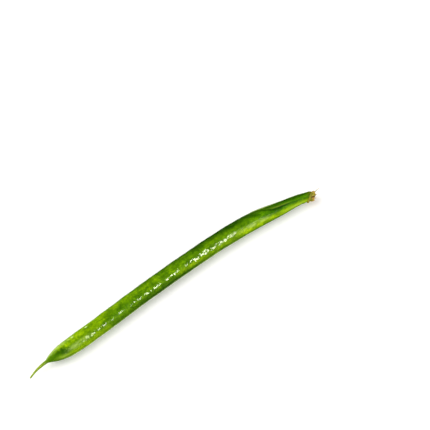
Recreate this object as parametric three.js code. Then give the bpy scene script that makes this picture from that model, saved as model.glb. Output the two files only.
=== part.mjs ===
// A fresh green bean, a slender French bean pod, lying on its side. Lengths are in millimetres.
//
// +X runs along the bean from its tail to its stem, +Y points to the outside of its bow, and +Z is up.
// The origin lies under the middle of the bounding box, on the surface that the bean rests on.
//
//   pod        one grown piece: the thin curved tail, the swollen body with its two sutures and the
//              swellings over the seeds, and the neck
//   stem_stub  the short dry remnant of calyx and stalk, torn off ragged, that closes the neck

import * as THREE from "three";

// Lengths along the centreline, measured from the tip of the tail
const BEAN_LENGTH = 140;
const TAIL_LENGTH = 10;
const STUB_LENGTH = 3;
const STUB_GAP = 0.3;
const POD_LENGTH = BEAN_LENGTH - STUB_LENGTH - STUB_GAP;

// Half widths, from suture to suture
const TAIL_TIP_HALF_WIDTH = 0.3;
const TAIL_BASE_HALF_WIDTH = 0.72;
const BODY_HALF_WIDTH = 3.56;
const NECK_HALF_WIDTH = 1.75;
const STUB_HALF_WIDTH = 1.95;

// How the width changes: it swells quickly behind the tail and narrows slowly towards the neck
const SHOULDER_LENGTH = 6.2;
const SHOULDER_SOFTNESS = 1.08;
const NECK_START = 98;
const NECK_FULLNESS = 1.9;

// The section is an oval, a little flatter than it is wide, with a ridge along each suture
const HEIGHT_RATIO = 0.93;
const SUTURE_HEIGHT = 0.22;
const SUTURE_HALF_ANGLE = THREE.MathUtils.degToRad(10);
const GROOVE_DEPTH = 0.16;
const GROOVE_HALF_ANGLE = THREE.MathUtils.degToRad(3);

// The sutures lie level along the body and turn upwards, about the centreline, over the last stretch
const NECK_TWIST = THREE.MathUtils.degToRad(48);
const TWIST_START = 92;

// Eight seeds press the two broad faces outwards, at slightly uneven places
const SEED_COUNT = 8;
const FIRST_SEED = 27;
const SEED_PITCH = 12.3;
const SEED_WANDER = 1.0;
const SEED_HALF_LENGTH = 4.2;
const SEED_SWELLING = 0.2;
const SEED_SWELLING_AT_SUTURE = 0.06;

// The underside is pressed flat by this much where the body meets the surface
const REST_FLAT_DEPTH = 0.16;
const CENTRE_HEIGHT = BODY_HALF_WIDTH * HEIGHT_RATIO - REST_FLAT_DEPTH;

// The stub leans to the inside of the bow, and its side leaves a circle in uneven lobes. Its torn end
// is shorter on that inside, and its edge runs in and out.
const STUB_LEAN = 0.14;
const STUB_LOBE = 0.1;
const TEAR_SLANT = 1.1;
const TEAR_DEPTH = 0.3;

// Each end is rounded over a length, and stays flat over a part of its half width
const TAIL_END = { rounding: 0.35, flat: 0 };
const NECK_END = { rounding: 0.3, flat: 0.85 };
const STUB_BASE = { rounding: 0.2, flat: 0.9 };
const STUB_END = { rounding: 0.5, flat: 0.5 };

// Fineness of the surfaces
const POD_SIDES = 28;
const STUB_SIDES = 20;
const CROWDING_AT_SUTURES = 0.28;
const POD_STATION_STEPS = [
  { end: TAIL_END.rounding, step: 0.09 },
  { end: TAIL_LENGTH, step: 1.35 },
  { end: 26, step: 0.85 },
  { end: POD_LENGTH - NECK_END.rounding, step: 1.7 },
  { end: POD_LENGTH, step: 0.11 },
];
const STUB_STATION_STEPS = [
  { end: STUB_BASE.rounding, step: 0.1 },
  { end: STUB_LENGTH - STUB_END.rounding, step: 0.34 },
  { end: STUB_LENGTH, step: 0.125 },
];

// The centreline, seen from above: a hooked tail, then a shallow bow that is deepest near the stem
const centreline = new THREE.CatmullRomCurve3(
  [
    [0, 0],
    [4.3, 1.5],
    [10.1, 2.35],
    [21, 2.3],
    [36, 3.2],
    [56, 4.85],
    [78, 6.15],
    [98, 6.75],
    [113, 6.15],
    [125, 4.5],
    [133, 3.4],
    [140, 1.6],
  ].map(([x, y]) => new THREE.Vector3(x, y, CENTRE_HEIGHT)),
  false,
  "centripetal",
);

const bell = (distance, halfWidth) => Math.exp(-((distance / halfWidth) ** 2));

// How much of its width a piece keeps near an end: it rises from `flat` to 1 along a quarter circle
const endFullness = (distance, { rounding, flat }) => {
  const inward = THREE.MathUtils.clamp(distance / rounding, 0, 1);
  return THREE.MathUtils.lerp(flat, 1, Math.sqrt(1 - (1 - inward) ** 2));
};

// Half the pod's width at a distance along the centreline
function podHalfWidth(along) {
  const inTail = Math.min(along / TAIL_LENGTH, 1);
  const tail = THREE.MathUtils.lerp(TAIL_TIP_HALF_WIDTH, TAIL_BASE_HALF_WIDTH, inTail);
  const pastTail = Math.max(along - TAIL_LENGTH, 0) / SHOULDER_LENGTH;
  const swell = Math.tanh(pastTail) ** SHOULDER_SOFTNESS;
  const pastBody = Math.max(along - NECK_START, 0) / (POD_LENGTH - NECK_START);
  const taper = (BODY_HALF_WIDTH - NECK_HALF_WIDTH) * pastBody ** NECK_FULLNESS;
  return tail + (BODY_HALF_WIDTH - tail) * swell - taper;
}

// How much the seeds under a place press the wall outwards, from 0 to about 1
function seedSwelling(along) {
  let swelling = 0;
  for (let seed = 0; seed < SEED_COUNT; seed += 1) {
    const place = FIRST_SEED + SEED_PITCH * seed + SEED_WANDER * Math.sin(2.4 * seed);
    swelling += bell(along - place, SEED_HALF_LENGTH);
  }
  return swelling;
}

// How far the sutures have turned about the centreline at a place
function podTwist(along) {
  return NECK_TWIST * THREE.MathUtils.smoothstep(along, TWIST_START, BEAN_LENGTH);
}

// Distance from the centreline to the pod's surface; the sutures are at angles 0 and pi
function podReach(along, angle) {
  const halfWidth = podHalfWidth(along);
  const fullness = halfWidth / BODY_HALF_WIDTH;
  const oval = Math.hypot(Math.cos(angle), Math.sin(angle) * HEIGHT_RATIO);
  const fromSuture = Math.asin(Math.abs(Math.sin(angle)));
  const ridge = SUTURE_HEIGHT * bell(fromSuture, SUTURE_HALF_ANGLE);
  const groove = GROOVE_DEPTH * bell(fromSuture, GROOVE_HALF_ANGLE);
  const onFace = Math.sin(angle) ** 2;
  const swelling = THREE.MathUtils.lerp(SEED_SWELLING_AT_SUTURE, SEED_SWELLING, onFace);
  return halfWidth * oval + fullness * (ridge - groove + swelling * seedSwelling(along));
}

// Distance from the centreline to the stub's surface, uneven as dry torn tissue is
function stubReach(along, angle) {
  const flare = THREE.MathUtils.lerp(0.9, 1, along / STUB_LENGTH);
  const lobes = STUB_LOBE * (Math.cos(2 * angle + 0.6) + 0.5 * Math.cos(5 * angle + 1.1));
  return STUB_HALF_WIDTH * (flare + lobes - STUB_LEAN * Math.cos(angle));
}

// How far the torn end draws a place on the stub back towards the pod
function stubShift(along, angle) {
  const slant = TEAR_SLANT * (0.5 - 0.5 * Math.cos(angle));
  const notches = TEAR_DEPTH * Math.sin(2.5 * angle + 0.4) ** 2;
  return -(slant + notches) * (along / STUB_LENGTH) ** 2;
}

// The places of a piece's sections, from steps that are short where the width changes quickly
function stations(steps) {
  const places = [0];
  for (const { end, step } of steps) {
    const start = places.at(-1);
    const count = Math.max(Math.round((end - start) / step), 1);
    for (let i = 1; i <= count; i += 1) {
      places.push(THREE.MathUtils.lerp(start, end, i / count));
    }
  }
  return places;
}

// The outline of a closed surface of revolution, one unit in radius, that starts and ends on its
// axis. It runs from the stem end to the tail end, so that the faces point outwards.
function closedProfile(steps, firstEnd, lastEnd) {
  const places = stations(steps);
  const length = places.at(-1);
  const outline = places.map((along) => {
    const fullness = endFullness(along, firstEnd) * endFullness(length - along, lastEnd);
    return new THREE.Vector2(fullness, along);
  });
  if (firstEnd.flat > 0) outline.unshift(new THREE.Vector2(0, 0));
  if (lastEnd.flat > 0) outline.push(new THREE.Vector2(0, length));
  return outline.reverse();
}

// Moves each section of a surface of revolution onto the centreline and gives it its real reach
function sweptPiece({ start, profile, sides, crowding, reach, twist, shift }) {
  const geometry = new THREE.LatheGeometry(profile, sides);
  const position = geometry.getAttribute("position");
  const up = new THREE.Vector3(0, 0, 1);
  for (let i = 0; i < position.count; i += 1) {
    const along = position.getY(i);
    const ring = Math.hypot(position.getX(i), position.getZ(i));
    const turn = Math.atan2(position.getZ(i), position.getX(i));
    const angle = turn - crowding * Math.sin(2 * turn);
    const distance = ring * reach(along, angle);
    const fromTail = start + along + ring * shift(along, angle);
    const place = THREE.MathUtils.clamp(fromTail / BEAN_LENGTH, 0, 1);
    const centre = centreline.getPointAt(place);
    const side = new THREE.Vector3().crossVectors(up, centreline.getTangentAt(place)).normalize();
    const direction = angle + twist(along);
    centre.addScaledVector(side, distance * Math.cos(direction));
    centre.addScaledVector(up, distance * Math.sin(direction));
    position.setXYZ(i, centre.x, centre.y, Math.max(centre.z, 0));
  }
  geometry.computeVertexNormals();
  return geometry;
}

function makePod() {
  const geometry = sweptPiece({
    start: 0,
    profile: closedProfile(POD_STATION_STEPS, TAIL_END, NECK_END),
    sides: POD_SIDES,
    crowding: CROWDING_AT_SUTURES,
    reach: podReach,
    twist: podTwist,
    shift: () => 0,
  });
  const skin = new THREE.MeshStandardMaterial({ color: 0x638f12, roughness: 0.28, metalness: 0 });
  const pod = new THREE.Mesh(geometry, skin);
  pod.name = "pod";
  return pod;
}

function makeStemStub() {
  const geometry = sweptPiece({
    start: POD_LENGTH + STUB_GAP,
    profile: closedProfile(STUB_STATION_STEPS, STUB_BASE, STUB_END),
    sides: STUB_SIDES,
    crowding: 0,
    reach: stubReach,
    twist: () => 0,
    shift: stubShift,
  });
  const dryTissue = new THREE.MeshStandardMaterial({ color: 0x9c7c3a, roughness: 0.85, metalness: 0 });
  const stub = new THREE.Mesh(geometry, dryTissue);
  stub.name = "stem_stub";
  return stub;
}

const pieces = new THREE.Group();
pieces.add(makePod(), makeStemStub());

const box = new THREE.Box3().setFromObject(pieces);
const middle = box.getCenter(new THREE.Vector3());
pieces.position.set(-middle.x, -middle.y, -box.min.z);

const bean = new THREE.Group();
bean.add(pieces);

export default bean;
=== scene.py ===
"""A fresh, wet green bean lying on its side on a pale studio floor.

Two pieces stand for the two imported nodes: the pod, with its tail, seams, seed swellings and neck, and
the dry torn stub of stalk that closes the neck. Each form is worked out in millimetres along and round
the bean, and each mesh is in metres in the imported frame: +X runs from the tail to the stem, +Y points
to the outside of the bow, and +Z is up.

A place along the bean is its distance from the tip of the tail, in mm. A place round it is a turn from
the underside: 0.25 is the outside of the bow, 0.5 the top and 0.75 the inside of the bow. Turns go with
the pod, which twists at the neck, and sides are the ways that the skin really faces. Angles are turns
in radians, counted from the outside of the bow.
"""

import logging
import math
from bisect import bisect_right
from dataclasses import dataclass, field
from enum import Enum
from itertools import pairwise

import bmesh
import bpy
from mathutils import Matrix, Vector, noise
from mathutils.geometry import interpolate_bezier


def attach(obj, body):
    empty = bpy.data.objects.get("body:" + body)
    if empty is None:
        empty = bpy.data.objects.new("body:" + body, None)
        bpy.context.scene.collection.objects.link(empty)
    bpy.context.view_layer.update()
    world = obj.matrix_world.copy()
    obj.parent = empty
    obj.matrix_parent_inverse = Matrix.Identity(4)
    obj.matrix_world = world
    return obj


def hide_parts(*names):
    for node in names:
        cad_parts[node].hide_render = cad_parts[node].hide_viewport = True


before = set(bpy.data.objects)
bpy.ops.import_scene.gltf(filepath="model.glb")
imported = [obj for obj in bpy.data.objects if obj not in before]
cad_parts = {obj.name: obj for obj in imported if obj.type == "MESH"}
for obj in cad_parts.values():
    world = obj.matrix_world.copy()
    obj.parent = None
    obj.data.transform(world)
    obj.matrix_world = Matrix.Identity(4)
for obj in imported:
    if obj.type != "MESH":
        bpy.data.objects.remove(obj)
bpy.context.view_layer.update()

LOG = logging.getLogger("green_bean")
MM = 0.001
TOUCHING = 0.0005 * MM
OUTSIDE_TURN = 0.25
NOISE_RADIUS = 3.5
NOISE_LAYER_STEP = (71.3, 13.7)

Triple = tuple[float, float, float]
Socket = bpy.types.NodeSocket
Feed = Socket | float | tuple[float, ...]


class Node(Enum):
    """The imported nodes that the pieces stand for."""

    POD = "pod"
    STUB = "stem_stub"


class Slot(Enum):
    """The record's material slots."""

    SKIN = "pod_skin"
    DRY_STEM = "dry_stem"


class Tint(Enum):
    """The colours that are laid on the skin and the stub."""

    DEEP = (0.014, 0.066, 0.0004)
    LEAF = (0.060, 0.176, 0.0004)
    MID = (0.122, 0.266, 0.0004)
    BRIGHT = (0.225, 0.390, 0.0008)
    LIME = (0.350, 0.540, 0.0020)
    PALE = (0.320, 0.425, 0.0300)
    # Painted sheen: the whitish glow of wet skin near its highlights, also laid on the seams' pale
    # cords.
    PAINTED_SHEEN = (0.480, 0.660, 0.1300)
    # Painted glint: the near-white highlight of a water drop.
    PAINTED_GLINT = (0.640, 0.840, 0.3000)
    HUSK = (0.120, 0.120, 0.0060)
    TAN = (0.50, 0.27, 0.025)
    STRAW = (0.70, 0.56, 0.160)
    OLIVE = (0.26, 0.26, 0.010)
    BROWN = (0.080, 0.034, 0.006)


class Shade(Enum):
    """What the colours below are multiplied by."""

    DIM = (0.55, 0.66, 0.50)
    LIT = (1.45, 1.34, 1.60)
    FRESH = (0.72, 1.02, 0.70)


class Port(Enum):
    """The kinds of socket on a shared effect."""

    VALUE = "NodeSocketFloat"
    VECTOR = "NodeSocketVector"


# ---- Small sums ----


def bell(distance: float, half_width: float) -> float:
    """A smooth bump: 1 at no distance, and 1/e at the half width."""
    return math.exp(-((distance / half_width) ** 2))


def clamp(value: float, low: float = 0.0, high: float = 1.0) -> float:
    """The value, kept between low and high."""
    return max(low, min(high, value))


def mix(low: float, high: float, share: float) -> float:
    """The value a share of the way from low to high."""
    return low + (high - low) * share


def smooth_rise(value: float, start: float, end: float) -> float:
    """0 before start, 1 after end, and a smooth rise between them."""
    share = clamp((value - start) / (end - start))
    return share * share * (3 - 2 * share)


def angle_of(turn: float) -> float:
    """The angle, in radians from the outside of the bow, of a turn from the underside."""
    return math.tau * (turn - OUTSIDE_TURN)


# ---- Forms that are placed along and round the bean ----


@dataclass(frozen=True)
class Crease:
    """A fold that gathers the skin into the neck, on the mesh and in the finish.

    Attributes:
        first_turn: The turn at which it starts.
        last_turn: The turn to which it comes round.
        start: Where it starts.
        settled: Where it has come round to its last turn.
        end: Where it ends.
        depth: How deep it is, in mm.
        deepening: Half the length over which it deepens at its start.
        fading: Half the length over which it fades at its end.
    """

    first_turn: float
    last_turn: float
    start: float
    settled: float
    end: float
    depth: float
    deepening: float = 1.5
    fading: float = 2.0


@dataclass(frozen=True)
class Twist:
    """How the section turns as it nears the stem.

    Attributes:
        start: Where it starts to turn.
        end: Where it has turned in full.
        degrees: How far it turns.
    """

    start: float
    end: float
    degrees: float


@dataclass(frozen=True)
class Mouth:
    """The slanted join between the pod and the stub.

    Attributes:
        slant: How much further its longest side reaches than its shortest, in mm.
        angle: The angle of its longest side.
        setback: How far its shortest side is set back, in mm.
    """

    slant: float
    angle: float
    setback: float

    def shift(self, angle: float) -> float:
        """How far the join is moved towards the stem at an angle, in mm."""
        return self.slant * (0.5 + 0.5 * math.cos(angle - self.angle)) - self.setback


CREASES = (
    Crease(0.330, 0.436, 115.0, 122.0, 128.5, 0.26),
    Crease(0.640, 0.690, 115.0, 127.0, 134.0, 0.10),
    Crease(0.960, 0.900, 112.0, 126.0, 134.0, 0.12),
)
NECK_TWIST = Twist(92.0, 140.0, 48)
MOUTH = Mouth(2.8, 0.65, 0.8)


@dataclass(frozen=True)
class End:
    """How a tube is rounded off at one end.

    Attributes:
        rounding: The length over which it is rounded, in mm.
        flat: The part of the width that the very end keeps.
    """

    rounding: float
    flat: float

    def fullness(self, distance: float) -> float:
        """The share of its width that the tube keeps at a distance from the end."""
        inward = clamp(distance / self.rounding)
        return mix(self.flat, 1.0, math.sqrt(1 - (1 - inward) ** 2))


@dataclass(frozen=True)
class Ripple:
    """Smooth noise on a tube, with no seam round it.

    Attributes:
        height: How far it rises and falls, in mm.
        wave: The size of one swell round the tube, in mm.
        stretch: How many times longer than that a swell is along the tube.
        layer: Picks another noise of the same kind.
    """

    height: float
    wave: float
    stretch: float = 1.0
    layer: float = 0.0

    def at(self, along: float, angle: float) -> float:
        """The ripple's height at a place.

        Args:
            along: Place along the bean.
            angle: Angle round the section.

        Returns:
            The height, in mm.
        """
        girth = NOISE_RADIUS / self.wave
        lengthwise, upright = (step * self.layer for step in NOISE_LAYER_STEP)
        place = Vector((along / (self.wave * self.stretch) + lengthwise, girth * math.cos(angle),
                        girth * math.sin(angle) + upright))
        return self.height * noise.noise(place)


@dataclass(frozen=True)
class Swelling:
    """A smooth swelling at one place on a tube, or a hollow where its height is below 0.

    Attributes:
        height: How far it rises, in mm.
        along: Its middle along the bean.
        half_length: Half its length, in mm.
        turn: Its middle round the bean.
        half_angle: Half its width, in radians.
    """

    height: float
    along: float
    half_length: float
    turn: float
    half_angle: float

    def at(self, along: float, angle: float) -> float:
        """How far it raises the surface at a place, in mm."""
        away = math.remainder(angle - angle_of(self.turn), math.tau)
        return self.height * bell(along - self.along, self.half_length) * bell(away, self.half_angle)


# ---- The bean's line, and the tubes that are laid along it ----


@dataclass
class Centreline:
    """The bean's bowed centreline: a centripetal Catmull-Rom curve, walked by its length.

    Attributes:
        length: The bean's nominal length, from the tip of the tail to the end of the stub, in mm.
        tail_tip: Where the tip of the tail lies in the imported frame, in mm.
        stops: Where the curve passes, seen from above, in mm from the tip of the tail.
        chords: How many short chords stand for the span between two stops.
    """

    length: float = 140.0
    tail_tip: Triple = (-70.1179, -4.6153, 3.1508)
    stops: tuple[tuple[float, float], ...] = (
        (0, 0), (4.3, 1.5), (10.1, 2.35), (21, 2.3), (36, 3.2), (56, 4.85),
        (78, 6.15), (98, 6.75), (113, 6.15), (125, 4.5), (133, 3.4), (140, 1.6),
    )
    chords: int = 40
    _places: list[Vector] = field(default_factory=list, repr=False)
    _covered: list[float] = field(default_factory=list, repr=False)

    def __post_init__(self) -> None:
        """Walks the curve once, noting the distance covered at every chord."""
        tip = Vector(self.tail_tip)
        knots = [tip + Vector((x, y, 0)) for x, y in self.stops]
        knots = [2 * knots[0] - knots[1], *knots, 2 * knots[-1] - knots[-2]]
        for span in zip(knots, knots[1:], knots[2:], knots[3:]):
            self._places += self._chord_ends(*span)[bool(self._places):]
        self._covered = [0.0]
        for here, there in pairwise(self._places):
            self._covered.append(self._covered[-1] + (there - here).length)

    def _chord_ends(self, before: Vector, start: Vector, end: Vector, after: Vector) -> list[Vector]:
        """The chords' ends on the span from start to end.

        Args:
            before: The knot before the span.
            start: The knot that it leaves.
            end: The knot that it reaches.
            after: The knot after it.

        Returns:
            The points, start and end among them.
        """
        gaps = [math.sqrt((b - a).length) for a, b in pairwise((before, start, end, after))]
        along = (end - start) / gaps[1]
        leaving = (start - before) / gaps[0] - (end - before) / (gaps[0] + gaps[1]) + along
        arriving = along - (after - start) / (gaps[1] + gaps[2]) + (after - end) / gaps[2]
        third = gaps[1] / 3
        return interpolate_bezier(start, start + leaving * third, end - arriving * third, end,
                                  self.chords + 1)

    def at(self, along: float) -> Vector:
        """The curve's point at a place along the bean.

        Args:
            along: Place along the bean.

        Returns:
            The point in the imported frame, in mm.
        """
        distance = clamp(along / self.length) * self._covered[-1]
        chord = min(bisect_right(self._covered, distance), len(self._covered) - 1)
        start, end = self._covered[chord - 1], self._covered[chord]
        return self._places[chord - 1].lerp(self._places[chord], (distance - start) / (end - start))

    def side_at(self, along: float, reach: float = 0.5) -> Vector:
        """The level direction at right angles to the curve, towards the outside of the bow.

        Args:
            along: Place along the bean.
            reach: How far each way the curve's direction is judged, in mm.

        Returns:
            A direction of length 1.
        """
        heading = (self.at(along + reach) - self.at(along - reach)).normalized()
        return Vector((0, 0, 1)).cross(heading)


@dataclass(frozen=True)
class OnTube:
    """A place on a tube.

    Attributes:
        along: Distance from the tube's start, in mm.
        angle: Angle round the section.
        ring: Share of the full radius: 1 on the surface, and less on an end face.
    """

    along: float
    angle: float
    ring: float


@dataclass
class Tube:
    """A closed tube laid along part of the centreline and shaped by formulas.

    Attributes:
        line: The centreline that it follows.
        start: Where it starts.
        length: Its length, in mm.
        rings: How many rings of faces it has along its length.
        end_rings: How many rings of faces each end face has.
        sides: How many faces go round it.
        crowding_at_seams: How closely the faces crowd at the two seams.
        crowding_at_ends: How closely the rings crowd at the two ends, from 0 to 1.
        crowded_share: The share of the length over which they crowd.
    """

    line: Centreline
    start: float = 0.0
    length: float = 1.0
    rings: int = 10
    end_rings: int = 1
    sides: int = 12
    crowding_at_seams: float = 0.0
    crowding_at_ends: float = 0.8
    crowded_share: float = 0.015

    def reach(self, along: float, angle: float) -> float:
        """The distance from the centreline to the surface, in mm."""
        raise NotImplementedError

    def twist(self, along: float) -> float:
        """How far the section has turned, in radians."""
        return 0.0

    def shift(self, spot: OnTube) -> float:
        """How far a place is moved along the centreline, in mm."""
        return 0.0

    def _crowded(self, share: float) -> float:
        """Where a share of the length comes to lie when the rings crowd at the ends.

        Args:
            share: The share, from 0 to 1, of evenly spread rings.

        Returns:
            The share of crowded rings, give or take the same small amount at either end.
        """
        near_start = math.exp(-share / self.crowded_share)
        near_end = math.exp(-(1 - share) / self.crowded_share)
        return share + self.crowding_at_ends * self.crowded_share * (near_start - near_end)

    def stations(self) -> list[tuple[float, float]]:
        """Where the rings of vertices lie.

        Returns:
            For each ring, its distance along the tube in mm and its share of the full radius.
        """
        first, last = self._crowded(0), self._crowded(1)
        inward = [step / (self.end_rings + 1) for step in range(1, self.end_rings + 1)]
        body = [(self._crowded(step / self.rings) - first) / (last - first)
                for step in range(self.rings + 1)]
        start_face = [(0.0, ring) for ring in inward]
        end_face = [(self.length, ring) for ring in reversed(inward)]
        return start_face + [(self.length * share, 1.0) for share in body] + end_face

    def place(self, spot: OnTube) -> Vector:
        """Where a place on the tube lies.

        Args:
            spot: The place.

        Returns:
            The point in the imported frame, in mm, and not below the surface that the bean lies on.
        """
        from_tail = self.start + spot.along + spot.ring * self.shift(spot)
        distance = spot.ring * self.reach(spot.along, spot.angle)
        direction = spot.angle + self.twist(self.start + spot.along)
        place = self.line.at(from_tail)
        place += self.line.side_at(from_tail) * distance * math.cos(direction)
        place.z = max(place.z + distance * math.sin(direction), 0.0)
        return place

    def build(self) -> bmesh.types.BMesh:
        """Makes the tube's mesh, in metres, with a UV map named "skin".

        A straight tube is made first, one unit long for each ring, so that a vertex's height on it
        tells which station the vertex belongs to.

        Returns:
            The closed mesh. U is the distance from the tail over the bean's length, and V is the
            turn round the section from its underside, from 0 to 1.
        """
        mesh = bmesh.new()
        stations = [(0.0, 0.0), *self.stations(), (self.length, 0.0)]
        steps = len(stations) - 3
        bmesh.ops.create_cone(mesh, cap_ends=True, cap_tris=True, segments=self.sides,
                              radius1=1, radius2=1, depth=steps)
        lengthwise = [e for e in mesh.edges if abs(e.verts[0].co.z - e.verts[1].co.z) > 0.5]
        bmesh.ops.subdivide_edges(mesh, edges=lengthwise, cuts=steps - 1, use_grid_fill=True)
        spots: dict[bmesh.types.BMVert, OnTube] = {}
        for vert in mesh.verts:
            station = round(vert.co.z + steps / 2) + 1
            if vert.co.xy.length < 0.5:
                station = 0 if vert.co.z < 0 else len(stations) - 1
            angle = math.atan2(vert.co.y, vert.co.x)
            angle -= self.crowding_at_seams * math.sin(2 * angle)
            spots[vert] = OnTube(stations[station][0], angle, stations[station][1])
        self._unroll(mesh, spots)
        for vert, spot in spots.items():
            vert.co = self.place(spot) * MM
        bmesh.ops.remove_doubles(mesh, verts=mesh.verts, dist=TOUCHING)
        bmesh.ops.recalc_face_normals(mesh, faces=mesh.faces)
        return mesh

    def _unroll(self, mesh: bmesh.types.BMesh, spots: dict[bmesh.types.BMVert, OnTube]) -> None:
        """Gives the tube its UV map, with the seam along its underside.

        Args:
            mesh: The tube's mesh.
            spots: Each vertex's place on the tube.
        """
        skin = mesh.loops.layers.uv.new("skin")
        for face in mesh.faces:
            rim = [spots[vert].angle for vert in face.verts if spots[vert].ring > 0]
            near = [rim[0] + math.remainder(angle - rim[0], math.tau) for angle in rim]
            middle = sum(near) / len(near)
            whole_turns = math.floor(middle / math.tau + OUTSIDE_TURN)
            for loop in face.loops:
                spot = spots[loop.vert]
                inward = (1 - spot.ring) * self.reach(spot.along, spot.angle)
                from_tail = self.start + spot.along
                from_tail += inward if spot.along > self.length / 2 else -inward
                away = math.remainder(spot.angle - middle, math.tau) if spot.ring else 0.0
                turn = (middle + away) / math.tau + OUTSIDE_TURN - whole_turns
                loop[skin].uv = (from_tail / self.line.length, turn)


# ---- Shader nodes ----


@dataclass(frozen=True)
class Step:
    """A smooth step in a value.

    Attributes:
        start: The value at which it begins.
        end: The value at which it ends.
        low: The answer before it.
        high: The answer after it.
    """

    start: Feed
    end: Feed
    low: float = 0.0
    high: float = 1.0


@dataclass
class Wiring:
    """Adds nodes to one node tree and joins them up.

    Attributes:
        tree: The material's or the group's node tree.
    """

    tree: bpy.types.NodeTree

    def add(self, kind: str, feeds: dict[str | int, Feed] | None = None,
            **settings: object) -> bpy.types.Node:
        """Adds a node.

        Args:
            kind: The node's type.
            feeds: For each input, the socket that feeds it or its fixed value.
            **settings: The node's other settings.

        Returns:
            The node.
        """
        node = self.tree.nodes.new(kind)
        for name, value in settings.items():
            setattr(node, name, value)
        self.feed(node, feeds or {})
        return node

    def feed(self, node: bpy.types.Node, feeds: dict[str | int, Feed]) -> None:
        """Gives a node its inputs.

        Args:
            node: The node.
            feeds: For each input, the socket that feeds it or its fixed value.
        """
        for name, value in feeds.items():
            if isinstance(value, Socket):
                self.tree.links.new(value, node.inputs[name])
            else:
                node.inputs[name].default_value = value

    def maths(self, operation: str, *values: Feed) -> Socket:
        """One sum of a Math node."""
        return self.add("ShaderNodeMath", dict(enumerate(values)), operation=operation).outputs[0]

    def scaled(self, place: Feed, scale: Feed) -> Socket:
        """A place, with each of its three numbers multiplied by the scale's."""
        return self.add("ShaderNodeVectorMath", {0: place, 1: scale}, operation="MULTIPLY").outputs[0]

    def rise(self, value: Feed, step: Step) -> Socket:
        """A smooth step in a value.

        Args:
            value: What is read.
            step: The step.

        Returns:
            The socket with the answer.
        """
        feeds = {"Value": value, "From Min": step.start, "From Max": step.end, "To Min": step.low,
                 "To Max": step.high}
        return self.add("ShaderNodeMapRange", feeds, interpolation_type="SMOOTHSTEP").outputs[0]

    def tinted(self, share: Feed, under: Feed, over: Feed, blend: str) -> Socket:
        """One colour laid over another.

        Args:
            share: How much of the upper colour shows.
            under: The lower colour.
            over: The upper colour.
            blend: The way that they are blended.

        Returns:
            The socket with the mixed colour.
        """
        feeds = {0: share}
        for index, colour in ((6, under), (7, over)):
            feeds[index] = colour if isinstance(colour, Socket) else (*colour, 1.0)
        return self.add("ShaderNodeMix", feeds, data_type="RGBA", blend_type=blend).outputs[2]


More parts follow.
